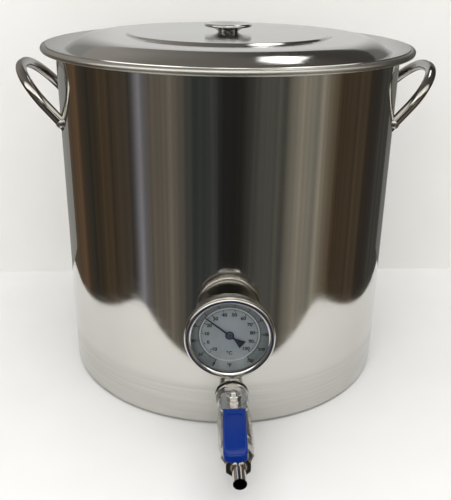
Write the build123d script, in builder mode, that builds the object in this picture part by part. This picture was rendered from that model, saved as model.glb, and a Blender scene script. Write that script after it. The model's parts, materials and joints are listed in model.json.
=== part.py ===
"""Stainless brew kettle with a lift-off lid, a dial thermometer and a ball valve.

Millimetres. +Z is up, the origin is the centre of the base's underside, and
the tap points along -Y. Stations along a fitting's axis are distances from
the kettle's own axis, so the wall's outside is at POT_RADIUS.
"""

import os
from math import cos, pi, radians, sin, sqrt, tan

from build123d import *

# ---------------------------------------------------------------- kettle
POT_RADIUS = 180.0
SHEET = 1.0
POT_INSIDE = POT_RADIUS - SHEET
BASE_CORNER = 6.0
BRIM_SLOPE = radians(18.0)
BEAD_RADIUS = 3.25
BEAD_CENTRE = (191.75, 356.75)
CURL_GAP = 1.2
CURL_GAP_ANGLE = radians(215.0)

# ---------------------------------------------------------------- handles
ROD_RADIUS = 5.5
HANDLE_HALF_WIDTH = 51.86
HANDLE_REACH = 68.94
HANDLE_TILT = 49.1
HANDLE_FOOT_Z = 284.2
HANDLE_BEND = 47.0
HANDLE_TAIL = 14.0
WELD_RADIUS = 6.3

# ---------------------------------------------------------------- lid
LID_SHEET = 0.8
LID_REST_GAP = 0.35
LID_EDGE_RADIUS = 189.6
LID_FOOT_RADIUS = 170.0
LID_SHOULDER = (153.5, 368.0)
LID_TOP_OUTER = (108.8, 368.3)
LID_DISC = (105.6, 370.4)
LID_FOOT_BEND = 4.0
LID_SHOULDER_BEND = 38.0
LID_STEP_BEND = 2.0
KNOB_NECK_RADIUS = 10.6
KNOB_NECK_FLARE = (15.8, 373.8)
KNOB_RIM_RADIUS = 25.5
KNOB_RIM_Z = 377.4
KNOB_RIM_HALF = 1.7
KNOB_DISH_Z = 376.6
KNOB_SCREW_RADIUS = 2.5
KNOB_SCREW_TOP = 374.6
KNOB_WASHER = (6.0, 1.0)
KNOB_SCREW_HEAD = (4.5, 2.6)

# ---------------------------------------------------------------- fittings
PORT_RADIUS = 10.8
THREAD_RADIUS = 10.5
THREAD_FREE = 0.1
GASKET_FACE = 182.0
WASHER_FACE = 183.6
INNER_GASKET_FACE = 176.5
GASKET_REACH = 16.2
INNER_GASKET_REACH = 15.4
NUT_FLATS = 32.0
NUT_LENGTH = 7.5
HEX_BEVEL = 0.9

# ---------------------------------------------------------------- thermometer
THERMO_Z = 119.8
THERMO_AZIMUTH = radians(1.4)
CONNECTOR_FLATS = 27.0
CONNECTOR_TAIL = 164.0
CONNECTOR_END = 190.5
CONNECTOR_NECK_RADIUS = 9.0
CASE_BACK = 192.0
CASE_RIM = 208.2
CASE_RADIUS = 39.5
CASE_SHEET = 0.8
CASE_CORNER = 5.0
PROBE_RADIUS = 3.175
PROBE_BORE = 2.7
PROBE_TIP = 120.0
COIL_RADIUS = 1.9
COIL_WIRE = 0.3
COIL_PITCH = 3.0
COIL_START = 125.0
COIL_LENGTH = 36.0
SPINDLE_RADIUS = 1.0
SPINDLE_FREE = 0.05
SPINDLE_START = 166.0
BUSH_RADIUS = 5.0
BUSH_FLANGE_RADIUS = 8.0
BUSH_FLANGE = 1.2
DIAL_FACE = 204.0
DIAL_SHEET = 0.8
DIAL_RADIUS = 38.5
DIAL_HOLE = 2.2
POINTER_BACK = 205.2
POINTER_SHEET = 0.5
POINTER_REST = radians(51.0)
POINTER_TIP = 29.0
POINTER_HUB_RADIUS = 4.2
POINTER_ROOT_HALF = 0.9
POINTER_TIP_HALF = 0.45
TAIL_START = 6.5
TAIL_END = 15.9
TAIL_HALF = 4.5
TAIL_NECK_HALF = 0.9
HUB_CAP_RADIUS = 2.9
HUB_CAP_FACE = 206.8
LENS_BACK = 209.7
LENS_FACE = 211.7
LENS_RADIUS = 39.4
LENS_GASKET_BORE = 37.4
BEZEL_RADIUS = 42.3
BEZEL_BORE = 36.3
BEZEL_SKIRT_BORE = 39.6
BEZEL_BACK = 205.5
BEZEL_FACE = 214.2
RESET_SCREW_OFFSET = 24.0
RESET_SCREW_RADIUS = 3.0
RESET_SCREW_HEAD = 1.8
RESET_SLOT = 0.8

# ---------------------------------------------------------------- ball valve
VALVE_Z = 34.0
BULKHEAD_BORE = 7.5
BULKHEAD_COLLAR_END = 192.0
BULKHEAD_TAIL = 163.0
BULKHEAD_END = 207.5
BULKHEAD_FLATS = 28.0
CAP_START = 199.0
CAP_END = 214.0
CAP_FLATS = 27.0
CAP_SOCKET_END = 208.0
SPIGOT_RADIUS = 13.0
SPIGOT_FREE = 0.05
VALVE_BORE = 7.0
BALL_CENTRE = 240.0
BALL_RADIUS = 12.0
CAVITY_RADIUS = 12.5
CAVITY_HALF = 10.7
SEAT_FREE = 0.05
SEAT_INNER_HALF = 6.0
SEAT_BORE = 7.4
BARREL_RADIUS = 16.5
BARREL_END = 260.0
BARREL_ROUND = 2.5
BARREL_FRONT_ROUND = 5.0
NOSE_FLATS = 26.0
NOSE_END = 272.0
NOSE_SOCKET = 262.0
BOSS_RADIUS = 8.0
BOSS_TOP = 24.0
STEM_RADIUS = 4.0
STEM_FREE = 0.05
PACKING_BOTTOM = 17.5
PACKING_RADIUS = 6.0
PACKING_TOP = 20.5
GLAND_FLATS = 14.0
GLAND_TOP = 29.0
STEM_SHOULDER = 37.0
STEM_TOP = 48.5
STEM_THREAD_RADIUS = 3.2
VALVE_ROLL = 3.2
LEVER_REST = 2.1
TANG = (3.6, 7.0)
TANG_BOTTOM = 8.2
TANG_FREE = 0.1
LEVER_SHEET = 2.0
LEVER_ROOT_HALF = 12.0
LEVER_ROOT_BACK = 228.0
LEVER_ROOT_FRONT = 253.0
LEVER_BEND = 261.0
LEVER_RISE = 2.6
LEVER_HALF = 9.0
LEVER_END = 320.2
LEVER_FLANGE = 3.6
SLEEVE_WALL = 1.3
SLEEVE_START = 259.5
SLEEVE_TOP_WALL = 1.5
SLEEVE_CORNER = 5.0
SLEEVE_BASE_Z = 35.4
SLEEVE_EDGE = 2.0
SLEEVE_PANEL = (14.0, 48.0, 3.0, 0.5)
WASHER_SPRING = (6.2, 1.1)
LEVER_NUT_FLATS = 11.0
LEVER_NUT_HEIGHT = 5.4
TAIL_HEX_FLATS = 22.0
TAIL_HEX_TURN = 30.0
TAIL_HEX_END = 285.0
TAIL_TUBE_RADIUS = 6.1
TAIL_TUBE_BORE = 5.4
TAIL_TIP = 306.0

SOLIDS = "parts"

thermo_across = (cos(THERMO_AZIMUTH), -sin(THERMO_AZIMUTH), 0)
thermo_out = (-sin(THERMO_AZIMUTH), -cos(THERMO_AZIMUTH), 0)
THERMO = Plane(origin=(0, 0, THERMO_Z), x_dir=thermo_across, z_dir=thermo_out)
VALVE = Plane(origin=(0, 0, VALVE_Z), x_dir=(1, 0, 0), z_dir=(0, -1, 0))
STEM = Plane(origin=(0, -BALL_CENTRE, VALVE_Z), x_dir=(1, 0, 0), z_dir=(0, 0, 1))


def section(plane):
    """Plane through the axis: first coordinate is the radius, second the station."""
    return Plane(origin=plane.origin, x_dir=plane.x_dir, z_dir=-plane.y_dir)


def turned(plane, profile, mode=Mode.ADD):
    """Turn a closed (radius, station) outline about the plane's normal."""
    with BuildSketch(section(plane)) as outline:
        with BuildLine():
            Polyline(*profile, close=True)
        make_face()
    revolve(outline.sketch, axis=Axis(plane.origin, plane.z_dir), mode=mode)


def tube(plane, inner, outer, start, end, mode=Mode.ADD):
    """Ring between two stations; an inner radius of zero gives a disc."""
    with BuildSketch(plane.offset(start)) as ring:
        Circle(outer)
        if inner > 0:
            Circle(inner, mode=Mode.SUBTRACT)
    extrude(ring.sketch, amount=end - start, mode=mode)


def wall_cylinder(radius, mode):
    """Upright cylinder on the kettle's axis, tall enough to trim any fitting."""
    with Locations((0, 0, BEAD_CENTRE[1] / 2)):
        Cylinder(radius, BEAD_CENTRE[1], mode=mode)


def hex_prism(plane, flats, start, end, turn=0.0):
    """Hexagon between two stations, with its corners turned off at both ends."""
    corner = flats / sqrt(3)
    with BuildPart() as prism:
        with BuildSketch(plane.offset(start)):
            RegularPolygon(flats / 2, side_count=6, major_radius=False, rotation=turn)
        extrude(amount=end - start)
        turned(
            plane,
            [
                (0, start),
                (flats / 2, start),
                (corner, start + HEX_BEVEL),
                (corner, end - HEX_BEVEL),
                (flats / 2, end),
                (0, end),
            ],
            mode=Mode.INTERSECT,
        )
    return prism.part


def save(builder, label, settle=None):
    """Name a finished piece, put it where it sits and write it out."""
    piece = settle(builder.part) if settle else builder.part
    piece.label = label
    export_step(piece, f"{SOLIDS}/{label}.step")


def rolled(piece):
    """Lean the valve towards -X about its own bore, as it was tightened."""
    return piece.rotate(Axis(VALVE.origin, (0, 1, 0)), -VALVE_ROLL)


def on_lever(piece):
    """Turn a lever piece off the open stop, then lean it with the valve."""
    return rolled(piece.rotate(Axis(STEM.origin, (0, 0, 1)), -LEVER_REST))


os.makedirs(SOLIDS, exist_ok=True)

# ---------------------------------------------------------------- kettle body
# One drawn sheet: base, wall, sloping brim and a rolled bead around its edge.
bead_top = (
    BEAD_CENTRE[0] - BEAD_RADIUS * sin(BRIM_SLOPE),
    BEAD_CENTRE[1] + BEAD_RADIUS * cos(BRIM_SLOPE),
)
bead_under = (bead_top[0] + SHEET * sin(BRIM_SLOPE), bead_top[1] - SHEET * cos(BRIM_SLOPE))


def brim_top(radius):
    """Height of the brim's upper face."""
    return bead_top[1] - (bead_top[0] - radius) * tan(BRIM_SLOPE)


brim_bend_out = (POT_RADIUS, brim_top(POT_RADIUS) - SHEET / cos(BRIM_SLOPE))
brim_bend_in = (POT_INSIDE, brim_top(POT_INSIDE))

with BuildPart() as kettle_body:
    with BuildSketch(Plane.XZ) as kettle_section:
        with BuildLine():
            Polyline(
                (0, 0),
                (POT_RADIUS, 0),
                brim_bend_out,
                bead_under,
                bead_top,
                brim_bend_in,
                (POT_INSIDE, SHEET),
                (0, SHEET),
                close=True,
            )
        make_face()
        corners = kettle_section.vertices()
        fillet(corners.sort_by_distance(Vector(POT_RADIUS, 0, 0))[0], BASE_CORNER)
        corners = kettle_section.vertices()
        fillet(corners.sort_by_distance(Vector(POT_INSIDE, SHEET, 0))[0], BASE_CORNER - SHEET)
        corners = kettle_section.vertices()
        fillet(corners.sort_by_distance(Vector(*brim_bend_out, 0))[0], 3 * SHEET)
        corners = kettle_section.vertices()
        fillet(corners.sort_by_distance(Vector(*brim_bend_in, 0))[0], 4 * SHEET)
        with Locations(BEAD_CENTRE):
            Circle(BEAD_RADIUS)
            Circle(BEAD_RADIUS - SHEET, mode=Mode.SUBTRACT)
            with PolarLocations(BEAD_RADIUS - SHEET / 2, 1, start_angle=CURL_GAP_ANGLE * 180 / pi):
                Rectangle(3 * SHEET, CURL_GAP, mode=Mode.SUBTRACT)
    revolve(axis=Axis.Z)
    tube(VALVE, 0, PORT_RADIUS, POT_RADIUS - 4 * SHEET, POT_RADIUS + SHEET, mode=Mode.SUBTRACT)
    tube(THERMO, 0, PORT_RADIUS, POT_RADIUS - 4 * SHEET, POT_RADIUS + SHEET, mode=Mode.SUBTRACT)
save(kettle_body, "kettle_body")

# ---------------------------------------------------------------- side handles
# A bent rod on each side: a rounded D in a plane that leans out and up.
chord = sqrt(POT_RADIUS**2 - HANDLE_HALF_WIDTH**2)


def handle_plane(side):
    """Plane of one loop: x runs along the wall, y out and up from the chord."""
    lean = radians(HANDLE_TILT)
    normal = Vector(-side * sin(lean), 0, cos(lean))
    return Plane(origin=(side * chord, 0, HANDLE_FOOT_Z), x_dir=(0, -side, 0), z_dir=normal)


def bent_rod(side):
    """Sweep the rod around the loop and trim its feet to the wall."""
    plane = handle_plane(side)
    with BuildPart() as rod:
        with BuildLine(plane) as path:
            FilletPolyline(
                (-HANDLE_HALF_WIDTH, -HANDLE_TAIL),
                (-HANDLE_HALF_WIDTH, HANDLE_REACH),
                (HANDLE_HALF_WIDTH, HANDLE_REACH),
                (HANDLE_HALF_WIDTH, -HANDLE_TAIL),
                radius=HANDLE_BEND,
            )
        centreline = path.wires()[0]
        with BuildSketch(Plane(origin=centreline @ 0, z_dir=centreline % 0)):
            Circle(ROD_RADIUS)
        sweep(path=centreline)
        wall_cylinder(POT_RADIUS, Mode.SUBTRACT)
    return rod


def foot_welds(side, rod):
    """The two weld beads where one loop meets the wall."""
    plane = handle_plane(side)
    with BuildPart() as welds:
        for along in (-HANDLE_HALF_WIDTH, HANDLE_HALF_WIDTH):
            with Locations(plane.from_local_coords(Vector(along, 0, 0))):
                Sphere(WELD_RADIUS)
        wall_cylinder(POT_RADIUS, Mode.SUBTRACT)
        add(rod.part, mode=Mode.SUBTRACT)
    return welds


left_handle = bent_rod(-1)
save(left_handle, "left_handle")
right_handle = bent_rod(1)
save(right_handle, "right_handle")
save(foot_welds(-1, left_handle), "left_handle_welds")
save(foot_welds(1, right_handle), "right_handle_welds")

# ---------------------------------------------------------------- lid
lid_under_lift = LID_REST_GAP / cos(BRIM_SLOPE)
lid_top_lift = (LID_REST_GAP + LID_SHEET) / cos(BRIM_SLOPE)
lid_outline = [
    (LID_EDGE_RADIUS, brim_top(LID_EDGE_RADIUS) + lid_top_lift),
    (LID_FOOT_RADIUS, brim_top(LID_FOOT_RADIUS) + lid_top_lift),
    LID_SHOULDER,
    LID_TOP_OUTER,
    LID_DISC,
    (0, LID_DISC[1]),
]


def sheet_under(outline, thickness):
    """Mitred copy of an outline, one sheet thickness below it."""
    under = []
    for index, point in enumerate(outline):
        before = outline[max(index - 1, 0)]
        after = outline[min(index + 1, len(outline) - 1)]
        normals = []
        for start, end in ((before, point), (point, after)):
            run = Vector(end[0] - start[0], end[1] - start[1])
            if run.length > 0:
                normals.append(Vector(-run.Y, run.X).normalized())
        mitre = (normals[0] + normals[-1]).normalized()
        reach = thickness / mitre.dot(normals[0])
        under.append((point[0] + mitre.X * reach, point[1] + mitre.Y * reach))
    return under


lid_under = sheet_under(lid_outline, LID_SHEET)
lid_bends = [
    (1, LID_FOOT_BEND, LID_FOOT_BEND + LID_SHEET),
    (2, LID_SHOULDER_BEND, LID_SHOULDER_BEND - LID_SHEET),
    (3, LID_STEP_BEND, LID_STEP_BEND + LID_SHEET),
    (4, LID_STEP_BEND + LID_SHEET, LID_STEP_BEND),
]

with BuildPart() as lid_shell:
    with BuildSketch(Plane.XZ) as lid_section:
        with BuildLine():
            Polyline(*lid_outline, *reversed(lid_under), close=True)
        make_face()
        for index, top_bend, under_bend in lid_bends:
            for point, bend in ((lid_outline[index], top_bend), (lid_under[index], under_bend)):
                corners = lid_section.vertices()
                fillet(corners.sort_by_distance(Vector(*point, 0))[0], bend)
    revolve(axis=Axis.Z)
    with Locations((0, 0, LID_DISC[1])):
        Cylinder(KNOB_SCREW_RADIUS + THREAD_FREE, 4 * LID_SHEET, mode=Mode.SUBTRACT)
save(lid_shell, "lid_shell")

with BuildPart() as lid_knob:
    with BuildSketch(Plane.XZ):
        with BuildLine():
            rim_low = (KNOB_RIM_RADIUS - KNOB_RIM_HALF, KNOB_RIM_Z - KNOB_RIM_HALF)
            rim_out = (KNOB_RIM_RADIUS, KNOB_RIM_Z)
            rim_top = (KNOB_RIM_RADIUS - KNOB_RIM_HALF, KNOB_RIM_Z + KNOB_RIM_HALF)
            Line((0, LID_DISC[1]), (KNOB_NECK_RADIUS, LID_DISC[1]))
            Spline(
                (KNOB_NECK_RADIUS, LID_DISC[1]),
                KNOB_NECK_FLARE,
                rim_low,
                tangents=[(0.6, 1), (1, 0)],
            )
            ThreePointArc(rim_low, rim_out, rim_top)
            Spline(rim_top, (0, KNOB_DISH_Z), tangents=[(-1, 0), (-1, 0)])
            Line((0, KNOB_DISH_Z), (0, LID_DISC[1]))
        make_face()
    revolve(axis=Axis.Z)
    tube(Plane.XY, 0, KNOB_SCREW_RADIUS, LID_DISC[1] - SHEET, KNOB_SCREW_TOP, Mode.SUBTRACT)
save(lid_knob, "lid_knob")

lid_inside = LID_DISC[1] - LID_SHEET
washer_radius, washer_height = KNOB_WASHER
head_radius, head_height = KNOB_SCREW_HEAD
with BuildPart() as lid_knob_washer:
    tube(
        Plane.XY,
        KNOB_SCREW_RADIUS + THREAD_FREE,
        washer_radius,
        lid_inside - washer_height,
        lid_inside,
    )
save(lid_knob_washer, "lid_knob_washer")

with BuildPart() as lid_knob_screw:
    tube(Plane.XY, 0, KNOB_SCREW_RADIUS, lid_inside - washer_height, KNOB_SCREW_TOP)
    head_top = lid_inside - washer_height
    tube(Plane.XY, 0, head_radius, head_top - head_height, head_top)
    fillet(lid_knob_screw.edges().sort_by(Axis.Z)[0], head_height / 3)
    with Locations((0, 0, head_top - head_height)):
        Box(2 * head_radius, SHEET, head_height, mode=Mode.SUBTRACT)
save(lid_knob_screw, "lid_knob_screw")


# ---------------------------------------------------------------- wall seals
def outer_gasket(plane):
    """Silicone ring between the wall's outside and the flat washer."""
    with BuildPart() as gasket:
        tube(plane, PORT_RADIUS, GASKET_REACH, POT_INSIDE - SHEET, GASKET_FACE)
        wall_cylinder(POT_RADIUS, Mode.SUBTRACT)
    return gasket


def inner_gasket(plane):
    """Silicone ring between the wall's inside and the lock nut."""
    with BuildPart() as gasket:
        tube(plane, PORT_RADIUS, INNER_GASKET_REACH, INNER_GASKET_FACE, POT_RADIUS)
        wall_cylinder(POT_INSIDE, Mode.INTERSECT)
    return gasket


def flat_washer(plane, radius):
    """Flat steel washer outside the gasket."""
    with BuildPart() as washer:
        tube(plane, PORT_RADIUS, radius, GASKET_FACE, WASHER_FACE)
        chamfer(washer.edges().filter_by(GeomType.CIRCLE).sort_by(SortBy.LENGTH)[-2:], SHEET / 4)
    return washer


def lock_nut(plane):
    """Hexagon nut on the threaded tail inside the kettle."""
    prism = hex_prism(plane, NUT_FLATS, INNER_GASKET_FACE - NUT_LENGTH, INNER_GASKET_FACE)
    with BuildPart() as nut:
        add(prism)
        tube(
            plane,
            0,
            THREAD_RADIUS + THREAD_FREE,
            INNER_GASKET_FACE - 2 * NUT_LENGTH,
            POT_RADIUS,
            mode=Mode.SUBTRACT,
        )
    return nut


save(outer_gasket(THERMO), "thermo_outer_gasket")
save(flat_washer(THERMO, GASKET_REACH), "thermo_outer_washer")
save(inner_gasket(THERMO), "thermo_inner_gasket")
save(lock_nut(THERMO), "thermo_lock_nut")
save(outer_gasket(VALVE), "valve_outer_gasket")
save(flat_washer(VALVE, POT_RADIUS / 10), "valve_outer_washer")
save(inner_gasket(VALVE), "valve_inner_gasket")
save(lock_nut(VALVE), "valve_lock_nut")

# ---------------------------------------------------------------- thermometer
connector_hex = hex_prism(THERMO, CONNECTOR_FLATS, WASHER_FACE, CONNECTOR_END)
with BuildPart() as thermo_connector:
    add(connector_hex)
    tube(THERMO, 0, THREAD_RADIUS, CONNECTOR_TAIL, WASHER_FACE)
    tube(THERMO, 0, CONNECTOR_NECK_RADIUS, CONNECTOR_END, CASE_BACK)
    tube(THERMO, 0, PROBE_RADIUS + THREAD_FREE, CONNECTOR_TAIL, CASE_BACK, mode=Mode.SUBTRACT)
save(thermo_connector, "thermo_connector")

with BuildPart() as thermo_probe:
    tube(THERMO, 0, PROBE_RADIUS, PROBE_TIP, CASE_BACK + CASE_SHEET)
    tip_edge = thermo_probe.edges().filter_by(GeomType.CIRCLE).sort_by(Axis.Y)[-1]
    fillet(tip_edge, PROBE_RADIUS / 2)
    tube(THERMO, 0, PROBE_BORE, PROBE_TIP + 2 * SHEET, CASE_BACK + CASE_SHEET, Mode.SUBTRACT)
save(thermo_probe, "thermo_probe")

with BuildPart() as thermo_bimetal_coil:
    coil_plane = THERMO.offset(COIL_START)
    with BuildLine() as coil_path:
        Helix(
            COIL_PITCH,
            COIL_LENGTH,
            COIL_RADIUS,
            center=coil_plane.origin,
            direction=coil_plane.z_dir,
        )
    with BuildSketch(Plane(origin=coil_path.line @ 0, z_dir=coil_path.line % 0)):
        Circle(COIL_WIRE)
    sweep(is_frenet=True)
save(thermo_bimetal_coil, "thermo_bimetal_coil")

with BuildPart() as thermo_case:
    tube(THERMO, 0, CASE_RADIUS, CASE_BACK, CASE_RIM)
    back_edge = thermo_case.edges().filter_by(GeomType.CIRCLE).sort_by(Axis.Y)[-1]
    fillet(back_edge, CASE_CORNER)
    front_face = thermo_case.faces().filter_by(GeomType.PLANE).sort_by(Axis.Y)[0]
    offset(amount=-CASE_SHEET, openings=front_face)
    tube(THERMO, 0, PROBE_RADIUS + THREAD_FREE, CASE_BACK - SHEET, DIAL_FACE, Mode.SUBTRACT)
save(thermo_case, "thermo_case")

with BuildPart() as thermo_reset_screw:
    screw_plane = Plane(
        origin=THERMO.from_local_coords(Vector(0, -RESET_SCREW_OFFSET, 0)),
        x_dir=THERMO.x_dir,
        z_dir=THERMO.z_dir,
    )
    head_back = CASE_BACK - RESET_SCREW_HEAD
    tube(screw_plane, 0, RESET_SCREW_RADIUS, head_back, CASE_BACK)
    with Locations(screw_plane.offset(head_back)):
        Box(2 * RESET_SCREW_RADIUS, RESET_SLOT, RESET_SLOT * 2, mode=Mode.SUBTRACT)
save(thermo_reset_screw, "thermo_reset_screw")

with BuildPart() as thermo_spindle_bush:
    bush_start = CASE_BACK + CASE_SHEET
    tube(THERMO, 0, BUSH_FLANGE_RADIUS, bush_start, bush_start + BUSH_FLANGE)
    tube(THERMO, 0, BUSH_RADIUS, bush_start, DIAL_FACE - DIAL_SHEET)
    tube(THERMO, 0, SPINDLE_RADIUS + SPINDLE_FREE, bush_start, DIAL_FACE, mode=Mode.SUBTRACT)
save(thermo_spindle_bush, "thermo_spindle_bush")

with BuildPart() as thermo_dial_plate:
    tube(THERMO, DIAL_HOLE, DIAL_RADIUS, DIAL_FACE - DIAL_SHEET, DIAL_FACE)
save(thermo_dial_plate, "thermo_dial_plate")

with BuildPart() as thermo_lens_gasket:
    tube(THERMO, LENS_GASKET_BORE, LENS_RADIUS, CASE_RIM, LENS_BACK)
save(thermo_lens_gasket, "thermo_lens_gasket")

with BuildPart() as thermo_lens:
    tube(THERMO, 0, LENS_RADIUS, LENS_BACK, LENS_FACE)
save(thermo_lens, "thermo_lens")

with BuildPart() as thermo_bezel:
    rim_mid = (BEZEL_RADIUS + BEZEL_BORE) / 2
    with BuildSketch(section(THERMO)):
        with BuildLine():
            Polyline(
                (BEZEL_BORE + SHEET, LENS_FACE),
                (BEZEL_SKIRT_BORE, LENS_FACE),
                (BEZEL_SKIRT_BORE, BEZEL_BACK),
                (BEZEL_RADIUS - SHEET, BEZEL_BACK),
                (BEZEL_RADIUS, BEZEL_BACK + SHEET),
                (BEZEL_RADIUS, BEZEL_FACE - 3.5 * SHEET),
            )
            Spline(
                (BEZEL_RADIUS, BEZEL_FACE - 3.5 * SHEET),
                (rim_mid + SHEET, BEZEL_FACE),
                (BEZEL_BORE, LENS_FACE + SHEET),
                tangents=[(0, 1), (-1, -1)],
            )
            Line((BEZEL_BORE, LENS_FACE + SHEET), (BEZEL_BORE + SHEET, LENS_FACE))
        make_face()
    revolve(axis=Axis(THERMO.origin, THERMO.z_dir))
save(thermo_bezel, "thermo_bezel")

# The needle turns with the spindle; at rest it points up and to the left.
needle_dir = THERMO.x_dir * -sin(POINTER_REST) + THERMO.y_dir * cos(POINTER_REST)
NEEDLE = Plane(origin=THERMO.origin, x_dir=needle_dir, z_dir=THERMO.z_dir)

with BuildPart() as thermo_pointer:
    with BuildSketch(NEEDLE.offset(POINTER_BACK)):
        Circle(POINTER_HUB_RADIUS)
        with BuildLine():
            Polyline(
                (0, -POINTER_ROOT_HALF),
                (POINTER_TIP, -POINTER_TIP_HALF),
                (POINTER_TIP, POINTER_TIP_HALF),
                (0, POINTER_ROOT_HALF),
                close=True,
            )
        make_face()
        with BuildLine():
            Polyline(
                (0, TAIL_NECK_HALF),
                (-TAIL_START, TAIL_NECK_HALF),
                (-TAIL_END, TAIL_HALF),
                (-TAIL_END, -TAIL_HALF),
                (-TAIL_START, -TAIL_NECK_HALF),
                (0, -TAIL_NECK_HALF),
                close=True,
            )
        make_face()
        Circle(SPINDLE_RADIUS, mode=Mode.SUBTRACT)
    extrude(amount=POINTER_SHEET)
save(thermo_pointer, "thermo_pointer")

with BuildPart() as thermo_spindle:
    tube(THERMO, 0, SPINDLE_RADIUS, SPINDLE_START, HUB_CAP_FACE)
    tube(THERMO, 0, HUB_CAP_RADIUS, POINTER_BACK + POINTER_SHEET, HUB_CAP_FACE)
    cap_edge = thermo_spindle.edges().filter_by(GeomType.CIRCLE).sort_by(Axis.Y)[0]
    fillet(cap_edge, SHEET / 2)
save(thermo_spindle, "thermo_spindle")

# ---------------------------------------------------------------- ball valve
bulkhead_hex = hex_prism(VALVE, BULKHEAD_FLATS, WASHER_FACE, BULKHEAD_COLLAR_END)
with BuildPart() as valve_bulkhead:
    add(bulkhead_hex)
    tube(VALVE, 0, THREAD_RADIUS, BULKHEAD_TAIL, BULKHEAD_END)
    tube(VALVE, 0, BULKHEAD_BORE, BULKHEAD_TAIL, BULKHEAD_END, mode=Mode.SUBTRACT)
save(valve_bulkhead, "valve_bulkhead")

cavity_start = BALL_CENTRE - CAVITY_HALF
cavity_end = BALL_CENTRE + CAVITY_HALF
cap_hex = hex_prism(VALVE, CAP_FLATS, CAP_START, CAP_END)
with BuildPart() as valve_end_cap:
    add(cap_hex)
    tube(VALVE, 0, SPIGOT_RADIUS, CAP_END, cavity_start)
    tube(VALVE, 0, THREAD_RADIUS + THREAD_FREE, CAP_START, CAP_SOCKET_END, mode=Mode.SUBTRACT)
    tube(VALVE, 0, VALVE_BORE, CAP_START, cavity_start, mode=Mode.SUBTRACT)
save(valve_end_cap, "valve_end_cap")

nose_hex = hex_prism(VALVE, NOSE_FLATS, BARREL_END - HEX_BEVEL, NOSE_END)
with BuildPart() as valve_body:
    tube(VALVE, 0, BARREL_RADIUS, CAP_END, BARREL_END)
    barrel_edges = valve_body.edges().filter_by(GeomType.CIRCLE).sort_by(Axis.Y)
    fillet(barrel_edges[-1], BARREL_ROUND)
    fillet(valve_body.edges().filter_by(GeomType.CIRCLE).sort_by(Axis.Y)[0], BARREL_FRONT_ROUND)
    add(nose_hex)
    tube(STEM, 0, BOSS_RADIUS, 0, BOSS_TOP)
    boss_edge = valve_body.edges().filter_by(GeomType.CIRCLE).sort_by(Axis.Z)[-1]
    fillet(boss_edge, SHEET)
    tube(VALVE, 0, SPIGOT_RADIUS + SPIGOT_FREE, CAP_END, cavity_start, mode=Mode.SUBTRACT)
    tube(VALVE, 0, CAVITY_RADIUS, cavity_start, cavity_end, mode=Mode.SUBTRACT)
    tube(VALVE, 0, VALVE_BORE, BALL_CENTRE, NOSE_END, mode=Mode.SUBTRACT)
    tube(VALVE, 0, THREAD_RADIUS + THREAD_FREE, NOSE_SOCKET, NOSE_END, mode=Mode.SUBTRACT)
    tube(STEM, 0, STEM_RADIUS + STEM_FREE, 0, BOSS_TOP, mode=Mode.SUBTRACT)
    tube(STEM, 0, PACKING_RADIUS, PACKING_BOTTOM, BOSS_TOP, mode=Mode.SUBTRACT)
save(valve_body, "valve_body", rolled)


def ball_seat(direction):
    """Soft ring that the ball turns against, on one side of the ball."""
    near = BALL_CENTRE + direction * SEAT_INNER_HALF
    far = BALL_CENTRE + direction * CAVITY_HALF
    with BuildPart() as seat:
        tube(VALVE, SEAT_BORE, CAVITY_RADIUS, min(near, far), max(near, far))
        with Locations((0, -BALL_CENTRE, VALVE_Z)):
            Sphere(BALL_RADIUS + SEAT_FREE, mode=Mode.SUBTRACT)
    return seat


save(ball_seat(-1), "valve_rear_seat")
save(ball_seat(1), "valve_front_seat")

with BuildPart() as valve_stem_packing:
    tube(STEM, STEM_RADIUS + STEM_FREE, PACKING_RADIUS, PACKING_BOTTOM, PACKING_TOP)
save(valve_stem_packing, "valve_stem_packing", rolled)

gland_hex = hex_prism(STEM, GLAND_FLATS, BOSS_TOP, GLAND_TOP)
with BuildPart() as valve_gland_nut:
    add(gland_hex)
    tube(STEM, 0, PACKING_RADIUS, PACKING_TOP, BOSS_TOP)
    tube(STEM, 0, STEM_RADIUS + STEM_FREE, PACKING_TOP, GLAND_TOP, mode=Mode.SUBTRACT)
save(valve_gland_nut, "valve_gland_nut", rolled)

tang_thick, tang_wide = TANG
with BuildPart() as valve_ball:
    with Locations((0, -BALL_CENTRE, VALVE_Z)):
        Sphere(BALL_RADIUS)
    tube(VALVE, 0, VALVE_BORE, BALL_CENTRE - BALL_RADIUS, BALL_CENTRE + BALL_RADIUS, Mode.SUBTRACT)
    with BuildSketch(STEM.offset(TANG_BOTTOM - TANG_FREE)):
        Rectangle(tang_thick + 2 * TANG_FREE, tang_wide + 2 * TANG_FREE)
    extrude(amount=BALL_RADIUS, mode=Mode.SUBTRACT)
save(valve_ball, "valve_ball", on_lever)

with BuildPart() as valve_stem:
    with BuildSketch(STEM.offset(TANG_BOTTOM)):
        Rectangle(tang_thick, tang_wide)
    extrude(amount=CAVITY_RADIUS - TANG_BOTTOM)
    tube(STEM, 0, STEM_RADIUS, CAVITY_RADIUS, STEM_SHOULDER)
    tube(STEM, 0, STEM_THREAD_RADIUS, STEM_SHOULDER, STEM_TOP)
    stem_edge = valve_stem.edges().filter_by(GeomType.CIRCLE).sort_by(Axis.Z)[-1]
    chamfer(stem_edge, SHEET / 2)
save(valve_stem, "valve_stem", on_lever)

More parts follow.
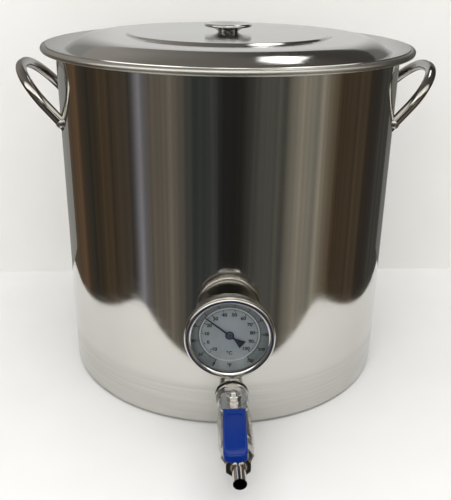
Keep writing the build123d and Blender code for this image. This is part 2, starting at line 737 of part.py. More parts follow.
# Pressed lever: a wide root on the stem, a step up, then a flanged grip.
lever_top = STEM_SHOULDER + LEVER_SHEET
with BuildPart() as valve_lever:
    with BuildSketch(Plane.YZ.offset(-LEVER_ROOT_HALF)):
        with BuildLine():
            root_z = VALVE_Z + STEM_SHOULDER
            grip_z = root_z + LEVER_RISE
            Polyline(
                (-LEVER_ROOT_BACK, root_z),
                (-LEVER_ROOT_FRONT, root_z),
                (-LEVER_BEND, grip_z),
                (-LEVER_END, grip_z),
                (-LEVER_END, grip_z + LEVER_SHEET),
                (-LEVER_BEND, grip_z + LEVER_SHEET),
                (-LEVER_ROOT_FRONT, root_z + LEVER_SHEET),
                (-LEVER_ROOT_BACK, root_z + LEVER_SHEET),
                close=True,
            )
        make_face()
    extrude(amount=2 * LEVER_ROOT_HALF)
    with BuildSketch(Plane.XY.offset(VALVE_Z)):
        with BuildLine():
            Polyline(
                (-LEVER_ROOT_HALF, -LEVER_ROOT_BACK),
                (-LEVER_ROOT_HALF, -LEVER_ROOT_FRONT),
                (-LEVER_HALF, -LEVER_BEND),
                (-LEVER_HALF, -LEVER_END),
                (LEVER_HALF, -LEVER_END),
                (LEVER_HALF, -LEVER_BEND),
                (LEVER_ROOT_HALF, -LEVER_ROOT_FRONT),
                (LEVER_ROOT_HALF, -LEVER_ROOT_BACK),
                close=True,
            )
        make_face()
    extrude(amount=2 * STEM_TOP, mode=Mode.INTERSECT)
    upright_edges = valve_lever.edges().filter_by(Axis.Z).sort_by(Axis.Y)
    fillet(upright_edges[:2] + upright_edges[-2:], SLEEVE_CORNER)
    flange_z = grip_z + LEVER_SHEET / 2 - LEVER_FLANGE / 2
    for side in (-1, 1):
        flange_x = side * (LEVER_HALF - LEVER_SHEET / 2)
        flange_y = -(LEVER_BEND + LEVER_END - SLEEVE_CORNER) / 2
        with Locations((flange_x, flange_y, flange_z)):
            Box(LEVER_SHEET, LEVER_END - LEVER_BEND - SLEEVE_CORNER, LEVER_FLANGE)
    tube(STEM, 0, STEM_THREAD_RADIUS, STEM_SHOULDER, lever_top, mode=Mode.SUBTRACT)
save(valve_lever, "valve_lever", on_lever)

with BuildPart() as valve_lever_sleeve:
    sleeve_half = LEVER_HALF + SLEEVE_WALL
    sleeve_length = LEVER_END + SLEEVE_WALL - SLEEVE_START
    with BuildSketch(Plane.XY.offset(VALVE_Z + SLEEVE_BASE_Z)):
        with Locations((0, -(SLEEVE_START + sleeve_length / 2))):
            Rectangle(2 * sleeve_half, sleeve_length)
    sleeve_top = STEM_SHOULDER + LEVER_RISE + LEVER_SHEET + SLEEVE_TOP_WALL
    extrude(amount=sleeve_top - SLEEVE_BASE_Z)
    sleeve_corners = valve_lever_sleeve.edges().filter_by(Axis.Z).sort_by(Axis.Y)[:2]
    fillet(sleeve_corners, SLEEVE_CORNER + SLEEVE_WALL)
    fillet(valve_lever_sleeve.faces().sort_by(Axis.Z)[-1].edges().sort_by(Axis.Y)[:-1], SLEEVE_EDGE)
    fillet(valve_lever_sleeve.faces().sort_by(Axis.Z)[0].edges().sort_by(Axis.Y)[:-1], SLEEVE_WALL)
    panel_wide, panel_long, panel_corner, panel_deep = SLEEVE_PANEL
    with BuildSketch(Plane.XY.offset(VALVE_Z + sleeve_top - panel_deep)):
        with Locations((0, -(SLEEVE_START + sleeve_length / 2))):
            RectangleRounded(panel_wide, panel_long, panel_corner)
    extrude(amount=panel_deep, mode=Mode.SUBTRACT)
    add(valve_lever.part, mode=Mode.SUBTRACT)
save(valve_lever_sleeve, "valve_lever_sleeve", on_lever)

spring_radius, spring_height = WASHER_SPRING
spring_top = lever_top + spring_height
with BuildPart() as valve_spring_washer:
    tube(STEM, STEM_THREAD_RADIUS + THREAD_FREE, spring_radius, lever_top, spring_top)
save(valve_spring_washer, "valve_spring_washer", on_lever)

nut_prism = hex_prism(STEM, LEVER_NUT_FLATS, spring_top, spring_top + LEVER_NUT_HEIGHT)
with BuildPart() as valve_lever_nut:
    add(nut_prism)
    tube(STEM, 0, STEM_THREAD_RADIUS, spring_top, STEM_TOP + SHEET, mode=Mode.SUBTRACT)
save(valve_lever_nut, "valve_lever_nut", on_lever)

tail_hex = hex_prism(VALVE, TAIL_HEX_FLATS, NOSE_END, TAIL_HEX_END, TAIL_HEX_TURN)
with BuildPart() as hose_tail:
    add(tail_hex)
    tube(VALVE, 0, THREAD_RADIUS, NOSE_SOCKET + SHEET, NOSE_END)
    tube(VALVE, 0, TAIL_TUBE_RADIUS, TAIL_HEX_END, TAIL_TIP)
    root_edges = hose_tail.edges().filter_by(GeomType.CIRCLE)
    root_edges = root_edges.filter_by(lambda edge: abs(edge.radius - TAIL_TUBE_RADIUS) < SHEET / 9)
    fillet(root_edges.sort_by(Axis.Y)[-1], 2 * SHEET)
    tube(VALVE, 0, TAIL_TUBE_BORE, NOSE_SOCKET, TAIL_TIP, mode=Mode.SUBTRACT)
save(hose_tail, "hose_tail")
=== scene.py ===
"""Looks, light and camera for the stainless brew kettle. Metres, +Z up, tap along -Y."""

import json
from math import copysign, cos, pi, radians, sin

import bmesh
import bpy
from mathutils import Matrix, Vector


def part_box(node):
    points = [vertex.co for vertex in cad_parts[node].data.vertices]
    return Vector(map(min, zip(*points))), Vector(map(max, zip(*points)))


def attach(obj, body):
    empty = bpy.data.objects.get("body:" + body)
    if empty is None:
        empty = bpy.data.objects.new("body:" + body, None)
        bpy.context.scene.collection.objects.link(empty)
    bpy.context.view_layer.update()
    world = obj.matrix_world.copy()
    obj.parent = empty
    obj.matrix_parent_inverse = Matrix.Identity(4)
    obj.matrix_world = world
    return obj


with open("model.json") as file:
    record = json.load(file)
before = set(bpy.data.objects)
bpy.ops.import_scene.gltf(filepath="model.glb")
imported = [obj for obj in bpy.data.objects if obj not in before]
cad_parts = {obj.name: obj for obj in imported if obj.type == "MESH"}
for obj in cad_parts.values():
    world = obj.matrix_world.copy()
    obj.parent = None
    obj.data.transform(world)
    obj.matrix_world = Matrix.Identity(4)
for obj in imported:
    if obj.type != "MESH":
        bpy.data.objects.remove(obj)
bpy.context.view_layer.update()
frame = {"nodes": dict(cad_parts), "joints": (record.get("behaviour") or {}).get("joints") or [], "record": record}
nodes = frame["nodes"]

# ---------------------------------------------------------------- node helpers
NOISE_RANGE = (0.3, 0.7)


class Graph:
    """Short names for building one material's node tree."""

    def __init__(self, name):
        self.mat = bpy.data.materials.new(name)
        self.mat.use_nodes = True
        self.tree = self.mat.node_tree
        self.tree.nodes.clear()
        self.out = self.tree.nodes.new("ShaderNodeOutputMaterial")

    def node(self, kind, **settings):
        made = self.tree.nodes.new(kind)
        for key, value in settings.items():
            setattr(made, key, value)
        return made

    def link(self, source, target):
        self.tree.links.new(source, target)

    def feed(self, socket, value):
        """Set a socket to a number, a colour or another node's output."""
        if isinstance(value, bpy.types.NodeSocket):
            self.link(value, socket)
        else:
            socket.default_value = value

    def math(self, kind, first, second=0.0, clamp=False):
        made = self.node("ShaderNodeMath", operation=kind, use_clamp=clamp)
        self.feed(made.inputs[0], first)
        self.feed(made.inputs[1], second)
        return made.outputs[0]

    def times(self, first, second):
        return self.math("MULTIPLY", first, second)

    def rougher(self, first, second):
        """Sum of two shares of roughness, kept between 0 and 1."""
        return self.math("ADD", first, second, clamp=True)

    def radius(self, x, y):
        """Distance from the Z axis."""
        return self.math("SQRT", self.math("ADD", self.times(x, x), self.times(y, y)))

    def place(self):
        return self.node("ShaderNodeTexCoord").outputs["Object"]

    def split(self, vector):
        made = self.node("ShaderNodeSeparateXYZ")
        self.feed(made.inputs[0], vector)
        return made.outputs

    def join(self, x, y, z):
        made = self.node("ShaderNodeCombineXYZ")
        for socket, value in zip(made.inputs, (x, y, z)):
            self.feed(socket, value)
        return made.outputs[0]

    def scaled(self, vector, scale):
        made = self.node("ShaderNodeMapping")
        self.feed(made.inputs["Vector"], vector)
        made.inputs["Scale"].default_value = scale
        return made.outputs[0]

    def noise(self, vector, scale, detail=3.0, rough=0.5):
        made = self.node("ShaderNodeTexNoise")
        self.feed(made.inputs["Vector"], vector)
        made.inputs["Scale"].default_value = scale
        made.inputs["Detail"].default_value = detail
        made.inputs["Roughness"].default_value = rough
        return made.outputs["Fac"]

    def span(self, value, low, high, to_low, to_high):
        """Map low..high to to_low..to_high, and hold the ends outside it."""
        made = self.node("ShaderNodeMapRange")
        self.feed(made.inputs["Value"], value)
        made.inputs["From Min"].default_value = low
        made.inputs["From Max"].default_value = high
        made.inputs["To Min"].default_value = to_low
        made.inputs["To Max"].default_value = to_high
        return made.outputs[0]

    def vary(self, noise, to_low, to_high):
        """Stretch the usual range of a noise to to_low..to_high."""
        return self.span(noise, *NOISE_RANGE, to_low, to_high)

    def mix(self, share, first, second):
        made = self.node("ShaderNodeMix", data_type="RGBA")
        self.feed(made.inputs[0], share)
        self.feed(made.inputs[6], first)
        self.feed(made.inputs[7], second)
        return made.outputs[2]

    def bump(self, height, strength, distance, normal=None):
        made = self.node("ShaderNodeBump")
        self.feed(made.inputs["Height"], height)
        made.inputs["Strength"].default_value = strength
        made.inputs["Distance"].default_value = distance
        if normal is not None:
            self.feed(made.inputs["Normal"], normal)
        return made.outputs[0]

    def shader(self, **values):
        """Principled surface; an underscore in a name stands for a space."""
        made = self.node("ShaderNodeBsdfPrincipled")
        for name, value in values.items():
            self.feed(made.inputs[name.replace("_", " ")], value)
        self.link(made.outputs[0], self.out.inputs["Surface"])
        return made

    def emitter(self, colour):
        made = self.node("ShaderNodeEmission")
        self.feed(made.inputs["Color"], colour)
        self.link(made.outputs[0], self.out.inputs["Surface"])


def rgb(*values):
    return (*values, 1.0)


def darker(colour, share):
    return rgb(*(channel * share for channel in colour[:3]))


# ---------------------------------------------------------------- finishes
# Painted reflection: the kettle wall is tinted darker, in streaks, below this height.
PAINTED_BAND_TOP = 0.048
BEAD_HEIGHT = 0.0065
BEAD_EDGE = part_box("kettle_body")[1].z - BEAD_HEIGHT
EDGE_BLEND = 0.0005


def steel(name, colour, rough, grain, lines, depth, aniso=0.0, wear=0.03, painted_band_top=0.0, lip=0.0):
    """Stainless steel. grain says which way the brushing runs.

    around: level lines round a wall. spun: rings about the Z axis.
    even: polished or machined, with no direction.
    lines and depth: how close together and how deep the brushing is.
    aniso: how far reflections are drawn out across the brushing.
    wear: how much the roughness wanders.
    painted_band_top: height of a duller brushed band at the bottom, whose darker tint is a painted reflection.
    lip: height above which a rolled edge is satin.
    """
    g = Graph(name)
    at = g.place()
    x, y, z = g.split(at)
    if grain == "around":
        lay = g.scaled(at, (5.0, 5.0, lines))
    elif grain == "spun":
        lay = g.join(g.times(x, 6.0), g.times(y, 6.0), g.times(g.radius(x, y), lines))
    else:
        lay = g.scaled(at, (lines, lines, lines))
    fine = g.noise(lay, 1.0, 2.0, 0.6)
    broad = g.noise(at, 7.0, 4.0, 0.55)
    marks = g.noise(g.scaled(at, (60, 60, 90)), 1.0, 5.0, 0.65)
    roughness = g.vary(fine, rough - wear, rough + wear)
    roughness = g.rougher(roughness, g.span(marks, 0.35, 0.75, -wear, wear))
    roughness = g.rougher(roughness, g.vary(broad, -wear * 0.6, wear * 0.6))
    tint = g.mix(g.span(broad, 0.35, 0.7, 0.0, 1.0), colour, darker(colour, 0.93))
    if painted_band_top:
        low = g.span(z, painted_band_top * 0.9, painted_band_top * 1.1, 1.0, 0.0)
        streaks = g.noise(g.scaled(at, (9.0, 9.0, 420.0)), 1.0, 3.0, 0.6)
        dulled = g.span(streaks, 0.35, 0.65, 0.04, 0.13)
        roughness = g.rougher(roughness, g.times(low, dulled))
        # Painted reflection: below the band's top the steel is tinted darker in streaks.
        tint = g.mix(g.times(low, g.vary(streaks, 0.25, 0.8)), tint, darker(colour, 0.8))
    if lip:
        roughness = g.rougher(roughness, g.span(z, lip - EDGE_BLEND, lip + EDGE_BLEND, 0.0, 0.30))
    normal = g.bump(fine, 0.35, depth)
    made = g.shader(Base_Color=tint, Metallic=1.0, Roughness=roughness, Normal=normal)
    if aniso:
        tangent = g.node("ShaderNodeTangent", direction_type="RADIAL", axis="Z")
        g.link(tangent.outputs[0], made.inputs["Tangent"])
        made.inputs["Anisotropic"].default_value = aniso
        made.inputs["Anisotropic Rotation"].default_value = 0.25
    return g.mat


def cast_steel(name, colour, rough):
    """Investment-cast and blasted steel: fine pits, soft shine, darker hollows."""
    g = Graph(name)
    at = g.place()
    pits = g.noise(at, 1400.0, 4.0, 0.7)
    lumps = g.noise(at, 210.0, 3.0, 0.55)
    rub = g.noise(at, 45.0, 4.0, 0.6)
    tint = g.mix(g.span(rub, 0.35, 0.7, 0.0, 1.0), colour, darker(colour, 0.78))
    roughness = g.rougher(g.vary(pits, rough - 0.07, rough + 0.07), g.vary(rub, -0.06, 0.06))
    normal = g.bump(pits, 0.5, 0.00008, g.bump(lumps, 0.5, 0.0005))
    g.shader(Base_Color=tint, Metallic=1.0, Roughness=roughness, Normal=normal)
    return g.mat


def plain(name, colour, rough, scale, depth, metallic=0.0, **extra):
    """Rubber, plastic, enamel and soft metals: mottled colour, uneven shine, a fine skin."""
    g = Graph(name)
    at = g.place()
    skin = g.noise(at, scale, 4.0, 0.6)
    broad = g.noise(at, scale / 18, 3.0, 0.5)
    tint = g.mix(g.vary(broad, 0.0, 1.0), colour, darker(colour, 0.85))
    roughness = g.rougher(g.vary(skin, rough - 0.04, rough + 0.04), g.vary(broad, -0.03, 0.03))
    normal = g.bump(skin, 0.3, depth)
    g.shader(Base_Color=tint, Roughness=roughness, Metallic=metallic, Normal=normal, **extra)
    return g.mat


def lens_glass():
    """Clear window: mostly see-through, with a sharp reflection and faint smears."""
    g = Graph("lens_glass")
    smear = g.noise(g.scaled(g.place(), (30, 30, 55)), 1.0, 4.0, 0.6)
    g.shader(
        Base_Color=rgb(0.05, 0.055, 0.055),
        Roughness=g.span(smear, 0.35, 0.7, 0.02, 0.09),
        IOR=2.4,
        Alpha=0.2,
    )
    return g.mat


finish = {
    "kettle_steel": steel(
        "kettle_steel",
        rgb(0.64, 0.63, 0.59),
        0.09,
        "around",
        1100,
        0.000014,
        aniso=0.4,
        wear=0.02,
        painted_band_top=PAINTED_BAND_TOP,
        lip=BEAD_EDGE,
    ),
    "lid_steel": steel("lid_steel", rgb(0.66, 0.655, 0.64), 0.12, "spun", 1500, 0.00001, aniso=0.5),
    "knob_steel": steel("knob_steel", rgb(0.60, 0.59, 0.57), 0.07, "spun", 1200, 0.00001),
    # Painted shade: the handle rods get a darker steel than the kettle's, standing in for the dark room they
    # reflect.
    "rod_steel": steel("rod_steel", rgb(0.46, 0.445, 0.425), 0.07, "even", 700, 0.00001),
    "fitting_steel": steel("fitting_steel", rgb(0.60, 0.59, 0.57), 0.2, "even", 1500, 0.00002),
    "tail_steel": steel("tail_steel", rgb(0.64, 0.60, 0.56), 0.14, "even", 1200, 0.00001),
    "ball_steel": steel("ball_steel", rgb(0.72, 0.72, 0.72), 0.05, "even", 500, 0.000004),
    "case_steel": steel("case_steel", rgb(0.60, 0.59, 0.57), 0.22, "even", 900, 0.00001),
    "bezel_steel": steel("bezel_steel", rgb(0.66, 0.65, 0.63), 0.16, "even", 600, 0.000005, wear=0.02),
    "spindle_steel": steel("spindle_steel", rgb(0.30, 0.30, 0.31), 0.3, "even", 1500, 0.00001),
    "weld_steel": cast_steel("weld_steel", rgb(0.50, 0.48, 0.46), 0.3),
    "cast_steel": cast_steel("cast_steel", rgb(0.60, 0.59, 0.57), 0.26),
    "lever_steel": cast_steel("lever_steel", rgb(0.70, 0.69, 0.67), 0.24),
    "dial_enamel": plain("dial_enamel", rgb(0.46, 0.52, 0.54), 0.35, 900.0, 0.000004),
    "pointer_black": plain("pointer_black", rgb(0.008, 0.009, 0.012), 0.4, 900.0, 0.000004),
    "black_rubber": plain("black_rubber", rgb(0.02, 0.02, 0.02), 0.6, 1200.0, 0.00004),
    "silicone": plain("silicone", rgb(0.07, 0.07, 0.075), 0.5, 800.0, 0.00003),
    "ptfe": plain("ptfe", rgb(0.82, 0.82, 0.80), 0.35, 600.0, 0.00002),
    "bush_brass": plain("bush_brass", rgb(0.72, 0.52, 0.25), 0.25, 900.0, 0.00001, 1.0),
    "bimetal_strip": plain("bimetal_strip", rgb(0.5, 0.36, 0.24), 0.3, 900.0, 0.00001, 1.0),
    "blue_vinyl": plain("blue_vinyl", rgb(0.002, 0.021, 0.17), 0.12, 500.0, 0.00003, Specular_IOR_Level=0.28),
    "lens_glass": lens_glass(),
}

slots = {entry["node"]: entry["material_slot"] for entry in frame["record"]["subparts"]}
for label, obj in nodes.items():
    obj.data.materials.clear()
    obj.data.materials.append(finish[slots[label]])

# ---------------------------------------------------------------- dial print
POINTER = next(joint for joint in frame["joints"] if joint["name"] == "pointer_turn")
OUTWARD = -Vector(POINTER["axis"])
# The pointer's joint stands this far in front of the dial's face.
POINTER_GAP = 0.0012
INK_LIFT = 0.00003

RING_INNER, RING_OUTER = 0.0270, 0.0284
BAND_INNER, BAND_OUTER = 0.0286, 0.0378
BAND_SPILL = 0.01
BAND_END_HALF = 0.012
FINE_TICK, BOLD_C_TICK, BOLD_F_TICK = 0.00020, 0.00034, 0.00036
C_MARKS = range(-10, 101, 2)
F_MARKS = range(0, 221, 2)

ink = plain("dial_ink", rgb(0.012, 0.014, 0.02), 0.5, 900.0, 0.000002)
band = plain("dial_band", rgb(0.29, 0.335, 0.34), 0.35, 900.0, 0.000002)
pale_ink = plain("dial_pale_ink", rgb(0.70, 0.74, 0.75), 0.35, 900.0, 0.000002)


def dial_matrix(lift):
    """Frame above the dial's middle: x across, y up, z out of the dial."""
    across = Vector((-OUTWARD.y, OUTWARD.x, 0))
    turn = Matrix((across, (0, 0, 1), OUTWARD)).transposed().to_4x4()
    middle = Vector(POINTER["pos_m"]) + OUTWARD * (lift - POINTER_GAP)
    return Matrix.Translation(middle) @ turn


def c_angle(celsius):
    """Clockwise angle from straight up, in radians, of a Celsius reading."""
    return radians(2.45 * celsius - 111.5)


def f_angle(fahrenheit):
    return c_angle((fahrenheit - 32.0) / 1.8)


def flat_piece(name, build, lift, material):
    """Mesh drawn in the dial's plane by build(bm), placed and riding the kettle."""
    bm = bmesh.new()
    build(bm)
    mesh = bpy.data.meshes.new(name)
    bm.to_mesh(mesh)
    bm.free()
    mesh.transform(dial_matrix(lift))
    mesh.materials.append(material)
    made = bpy.data.objects.new(name, mesh)
    bpy.context.scene.collection.objects.link(made)
    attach(made, "kettle")


def bar(bm, angle, inner, outer, half):
    """One radial tick at a clockwise angle."""
    along = Vector((sin(angle), cos(angle), 0))
    side = Vector((cos(angle), -sin(angle), 0)) * half
    ends = (along * inner - side, along * outer - side, along * outer + side, along * inner + side)
    bm.faces.new([bm.verts.new(p) for p in ends])


def arc(bm, start, end, inner, outer, steps=120):
    """Ring sector between two clockwise angles."""
    previous = None
    for index in range(steps + 1):
        angle = start + (end - start) * index / steps
        along = Vector((sin(angle), cos(angle), 0))
        pair = (bm.verts.new(along * inner), bm.verts.new(along * outer))
        if previous:
            bm.faces.new((previous[0], previous[1], pair[1], pair[0]))
        previous = pair


def print_band(bm):
    start, end = f_angle(F_MARKS[0]), f_angle(F_MARKS[-1])
    arc(bm, start - BAND_SPILL, end + BAND_SPILL, BAND_INNER, BAND_OUTER)


def print_ring(bm):
    arc(bm, 0, 2 * pi, RING_INNER, RING_OUTER)


def print_marks(bm):
    """Ticks of both scales, the two scales' lines and the ends of the outer band."""
    for mark in F_MARKS:
        bold = mark % 20 == 0
        outer = 0.0318 if bold else (0.0307 if mark % 10 == 0 else 0.0300)
        bar(bm, f_angle(mark), 0.0287, outer, BOLD_F_TICK if bold else FINE_TICK)
    for mark in C_MARKS:
        bold = mark % 10 == 0
        inner = 0.0242 if bold else 0.0254
        bar(bm, c_angle(mark), inner, 0.0268, BOLD_C_TICK if bold else FINE_TICK)
    arc(bm, f_angle(F_MARKS[0]), f_angle(F_MARKS[-1]), 0.0285, 0.0288)
    arc(bm, c_angle(C_MARKS[0]), c_angle(C_MARKS[-1]), 0.0266, 0.0269)
    for end in (f_angle(F_MARKS[0]), f_angle(F_MARKS[-1])):
        arc(bm, end - BAND_END_HALF, end + BAND_END_HALF, 0.0285, BAND_OUTER, 1)


def figure(text, angle, radius, size):
    """Mesh of a number printed upright at a clockwise angle and radius."""
    curve = bpy.data.curves.new("figure", "FONT")
    curve.body = text
    curve.size = size
    curve.align_x = "CENTER"
    curve.align_y = "CENTER"
    curve.resolution_u = 3
    curve.offset = size * 0.04
    holder = bpy.data.objects.new("figure", curve)
    bpy.context.scene.collection.objects.link(holder)
    bpy.context.view_layer.update()
    mesh = bpy.data.meshes.new_from_object(holder)
    bpy.data.objects.remove(holder)
    mesh.transform(Matrix.Translation((sin(angle) * radius, cos(angle) * radius, 0)))
    return mesh


def print_figures(bm):
    """Numbers of both scales and their degree signs, which stand at the bottom."""
    for value in C_MARKS[::5]:
        bm.from_mesh(figure(str(value), c_angle(value), 0.0214, 0.0050))
    for value in F_MARKS[::10]:
        bm.from_mesh(figure(str(value), f_angle(value), 0.0343, 0.0043))
    bm.from_mesh(figure("°C", pi, 0.0195, 0.0050))
    bm.from_mesh(figure("°F", pi, 0.0330, 0.0050))


flat_piece("dial_band_print", print_band, INK_LIFT, band)
flat_piece("dial_ring_print", print_ring, INK_LIFT, pale_ink)
flat_piece("dial_scale_print", print_marks, 2 * INK_LIFT, ink)
flat_piece("dial_figures_print", print_figures, 2.5 * INK_LIFT, ink)

# ---------------------------------------------------------------- stage
WALL_Y = 0.202
FLOOR_HALF = 4
TABLE_HALF_WIDTH = 0.345
TABLE_FRONT, TABLE_BACK = 0.228, 0.30
TABLE_CENTRE_Y = -0.06
TABLE_LIFT = 0.0003
TABLE_POINTS = 64


def stage_object(name, mesh, material):
    mesh.materials.append(material)
    made = bpy.data.objects.new(name, mesh)
    bpy.context.scene.collection.objects.link(made)
    return made


def panel(name, corners, material):
    mesh = bpy.data.meshes.new(name)
    mesh.from_pydata(corners, [], [tuple(range(len(corners)))])
    return stage_object(name, mesh, material)


def only_for(obj, camera=False, diffuse=False, glossy=False, shadow=False):
    """Say which rays meet a stage object."""
    obj.visible_camera = camera
    obj.visible_diffuse = diffuse
    obj.visible_glossy = glossy
    obj.visible_transmission = camera
    obj.visible_shadow = shadow


def upright(half, top):
    """Corners of a rectangle that stands on the floor at the back."""
    return [(-half, WALL_Y, 0), (half, WALL_Y, 0), (half, WALL_Y, top), (-half, WALL_Y, top)]


def table_outline():
    """White table around the kettle, with well-rounded corners."""
    points = []
    for step in range(TABLE_POINTS):
        angle = 2 * pi * step / TABLE_POINTS
        depth = TABLE_FRONT if sin(angle) < 0 else TABLE_BACK
        wide = copysign(abs(cos(angle)) ** 0.25, cos(angle))
        deep = copysign(abs(sin(angle)) ** 0.25, sin(angle))
        points.append((TABLE_HALF_WIDTH * wide, depth * deep + TABLE_CENTRE_Y, TABLE_LIFT))
    return points


def wall_paint():
    """Off-white wall, clear from behind so that a camera there sees through it."""
    g = Graph("stage_wall")
    grain = g.vary(g.noise(g.place(), 9.0, 3.0), 0, 1)
    tint = g.mix(grain, rgb(0.83, 0.815, 0.79), rgb(0.85, 0.835, 0.815))
    front = g.shader(Base_Color=tint, Roughness=0.8)
    clear = g.node("ShaderNodeBsdfTransparent")
    blend = g.node("ShaderNodeMixShader")
    g.link(g.node("ShaderNodeNewGeometry").outputs["Backfacing"], blend.inputs[0])
    g.link(front.outputs[0], blend.inputs[1])
    g.link(clear.outputs[0], blend.inputs[2])
    g.link(blend.outputs[0], g.out.inputs["Surface"])
    return g.mat


def floor_paint():
    g = Graph("stage_floor")
    grain = g.vary(g.noise(g.place(), 14.0, 4.0), 0, 1)
    tint = g.mix(grain, rgb(0.715, 0.712, 0.703), rgb(0.735, 0.73, 0.722))
    g.shader(Base_Color=tint, Roughness=0.6)
    return g.mat


def wall_glow():
    """Glowing panel, seen only in the steel, that paints the wall's reflection: bright behind the kettle,
    with painted shade making it greyer to the left and dark to the right."""
    g = Graph("stage_wall_seen")
    x, y, z = g.split(g.place())
    side = g.mix(g.span(x, -0.26, -0.14, 0, 1), rgb(0.28, 0.275, 0.26), rgb(0.68, 0.675, 0.66))
    side = g.mix(g.span(x, 0.20, 0.30, 0, 1), side, rgb(0.17, 0.165, 0.155))
    g.emitter(side)
    return g.mat


white = floor_paint()
corner = FLOOR_HALF
square = [(-corner, -corner, 0), (corner, -corner, 0), (corner, corner, 0), (-corner, corner, 0)]
floor = panel("stage_floor", square, white)
only_for(floor, camera=True, diffuse=True, shadow=True)
table = panel("stage_table", table_outline(), white)
only_for(table, glossy=True)
wall = panel("stage_wall", upright(1.6, 0.9), wall_paint())
only_for(wall, camera=True, diffuse=True)
wall_seen = panel("stage_wall_seen", upright(0.42, 0.52), wall_glow())
only_for(wall_seen, glossy=True)

# ---------------------------------------------------------------- room in the steel
# The room in front, seen only in the steel: soft upright bands by azimuth,
# as (degrees from -Y towards +X, colour).
ROOM = [
    (-180, (0.60, 0.60, 0.59)),
    (-152, (0.55, 0.55, 0.54)),
    (-143, (0.08, 0.075, 0.06)),
    (-120, (0.12, 0.075, 0.045)),
    (-106, (0.035, 0.033, 0.028)),
    (-88, (0.07, 0.05, 0.03)),
    (-66, (0.065, 0.055, 0.045)),
    (-59, (0.22, 0.22, 0.26)),
    (-52, (0.12, 0.105, 0.09)),
    (-38, (0.17, 0.15, 0.125)),
    (-28, (0.095, 0.09, 0.08)),
    (-24, (0.042, 0.047, 0.048)),
    (-10, (0.052, 0.056, 0.056)),
    (-6, (0.022, 0.022, 0.022)),
    (8, (0.022, 0.022, 0.02)),
    (12, (0.055, 0.056, 0.052)),
    (24, (0.10, 0.10, 0.092)),
    (33, (0.085, 0.083, 0.072)),
    (41, (0.24, 0.222, 0.188)),
    (58, (0.275, 0.257, 0.218)),
    (66, (0.16, 0.13, 0.095)),
    (72, (0.065, 0.045, 0.028)),
    (92, (0.075, 0.055, 0.036)),
    (106, (0.035, 0.03, 0.026)),
    (125, (0.06, 0.06, 0.055)),
    (140, (0.055, 0.055, 0.05)),
    (147, (0.55, 0.55, 0.54)),
    (180, (0.60, 0.60, 0.59)),
]
# Lamps overhead: middle along u and v, half sizes along u and v, power.
LAMPS = (
    (-1.05, -1.15, 0.20, 0.34, 2.6),
    (0.0, -1.15, 0.20, 0.34, 2.6),
    (1.05, -1.15, 0.20, 0.34, 2.6),
    (-0.55, -2.9, 0.30, 0.40, 1.8),
    (0.75, -2.9, 0.30, 0.40, 1.8),
    (0.29, 0.36, 0.045, 0.13, 5.0),
)
LAMP_BLUR = 0.10
ROOM_RADIUS = 2.6


def room_bands(g, x, y):
    """The upright bands, with finer streaks laid over them."""
    turn = g.math("ARCTAN2", x, g.times(y, -1.0))
    ramp = g.node("ShaderNodeValToRGB")
    while len(ramp.color_ramp.elements) < len(ROOM):
        ramp.color_ramp.elements.new(0.5)
    for stop, (degrees, colour) in zip(ramp.color_ramp.elements, ROOM):
        stop.position = (degrees + 180) / 360
        stop.color = rgb(*colour)
    g.feed(ramp.inputs[0], g.span(turn, -pi, pi, 0.0, 1.0))
    slats = g.noise(g.join(turn, 0.0, 0.0), 11.0, 5.0, 0.75)
    streaks = g.mix(g.span(slats, 0.32, 0.68, 0.0, 1.0), rgb(0.42, 0.46, 0.52), rgb(1.62, 1.55, 1.44))
    banded = g.node("ShaderNodeMix", data_type="RGBA", blend_type="MULTIPLY")
    banded.inputs[0].default_value = 1.0
    g.link(ramp.outputs[0], banded.inputs[6])
    g.link(streaks, banded.inputs[7])
    return banded.outputs[2]


def patch(g, value, centre, half):
    """One inside a band about centre, falling to zero over LAMP_BLUR."""
    away = g.math("ABSOLUTE", g.math("SUBTRACT", value, centre))
    return g.span(away, half, half + LAMP_BLUR, 1.0, 0.0)


def room_ceiling(g, x, y, z):
    """A flat ceiling with u towards +X and v towards +Y, both per unit of height."""
    over = g.math("MAXIMUM", z, 0.02)
    u = g.math("DIVIDE", x, over)
    v = g.math("DIVIDE", y, over)
    front = g.mix(g.span(u, -2.5, 2.5, 0, 1), rgb(2.3, 2.24, 2.14), rgb(1.1, 1.07, 1.0))
    back = g.mix(g.span(u, -0.5, 0.25, 0, 1), rgb(0.34, 0.32, 0.29), rgb(0.06, 0.055, 0.05))
    middle = g.mix(g.span(u, -0.9, 0.5, 0, 1), rgb(0.26, 0.245, 0.22), rgb(0.10, 0.09, 0.08))
    front = g.mix(g.span(v, -1.65, -1.35, 0, 1), rgb(0.13, 0.12, 0.11), front)
    ceiling = g.mix(g.span(v, -0.55, -0.32, 0, 1), front, middle)
    ceiling = g.mix(g.span(v, 0.15, 0.6, 0, 1), ceiling, back)
    for lamp_u, lamp_v, half_u, half_v, power in LAMPS:
        spot = g.times(patch(g, u, lamp_u, half_u), patch(g, v, lamp_v, half_v))
        ceiling = g.mix(spot, ceiling, rgb(power, power * 0.98, power * 0.94))
    return ceiling


def room_glow():
    """Bands at eye level that give way to the ceiling as the view rises."""
    g = Graph("stage_room")
    x, y, z = g.split(g.place())
    rise = g.math("ARCTAN2", z, g.radius(x, y))
    g.emitter(g.mix(g.span(rise, 0.10, 0.22, 0, 1), room_bands(g, x, y), room_ceiling(g, x, y, z)))
    return g.mat


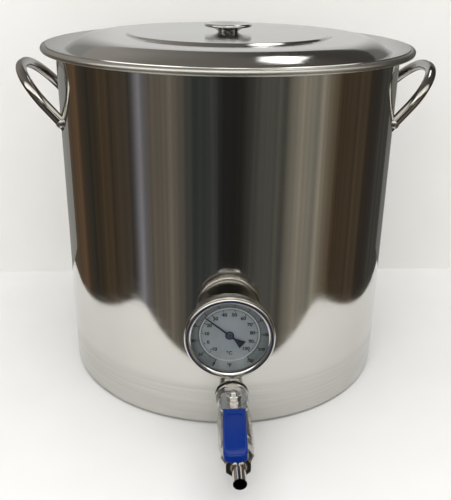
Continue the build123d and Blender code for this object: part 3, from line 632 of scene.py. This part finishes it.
bm = bmesh.new()
bmesh.ops.create_uvsphere(bm, u_segments=64, v_segments=32, radius=ROOM_RADIUS)
mesh = bpy.data.meshes.new("stage_room")
bm.to_mesh(mesh)
bm.free()
dome = stage_object("stage_room", mesh, room_glow())
only_for(dome, glossy=True)

# ---------------------------------------------------------------- light
HEART = Vector((0, 0, 0.2))


def soft_lamp(name, place, size, power):
    """Area lamp aimed at the kettle, unseen by the camera and in the steel."""
    data = bpy.data.lights.new(name, "AREA")
    data.shape = "RECTANGLE"
    data.size, data.size_y = size
    data.energy = power
    made = bpy.data.objects.new(name, data)
    made.location = place
    made.rotation_euler = (HEART - Vector(place)).to_track_quat("-Z", "Y").to_euler()
    bpy.context.scene.collection.objects.link(made)
    made.visible_camera = False
    made.visible_glossy = False


soft_lamp("stage_soft_top", (0, -0.5, 2.3), (2.6, 2.2), 40)
soft_lamp("stage_soft_front", (-0.9, -2.2, 1.5), (1.2, 0.9), 10)

world = bpy.data.worlds.new("stage_world")
bpy.context.scene.world = world
world.use_nodes = True
sky = world.node_tree.nodes["Background"]
sky.inputs["Color"].default_value = rgb(0.93, 0.93, 0.92)
sky.inputs["Strength"].default_value = 0.86

# ---------------------------------------------------------------- camera
CAMERA_AT = (-0.03840, -0.76866, 0.44532)
HEADING = radians(2.89)
DROP = radians(22.972)
ROLL = radians(0.791)
SENSOR_MM = 36.0
FOCAL_MM = 50.14

lens = bpy.data.cameras.new("camera")
lens.sensor_width = SENSOR_MM
lens.lens = FOCAL_MM
camera = bpy.data.objects.new("camera", lens)
bpy.context.scene.collection.objects.link(camera)
right = Vector((cos(HEADING), -sin(HEADING), 0))
ahead = Vector((sin(HEADING) * cos(DROP), cos(HEADING) * cos(DROP), -sin(DROP)))
up = right.cross(ahead)
aimed = Matrix((right, up, -ahead)).transposed().to_4x4()
camera.matrix_world = Matrix.Translation(CAMERA_AT) @ aimed @ Matrix.Rotation(ROLL, 4, "Z")
bpy.context.scene.camera = camera
bpy.context.scene.view_settings.view_transform = "Standard"
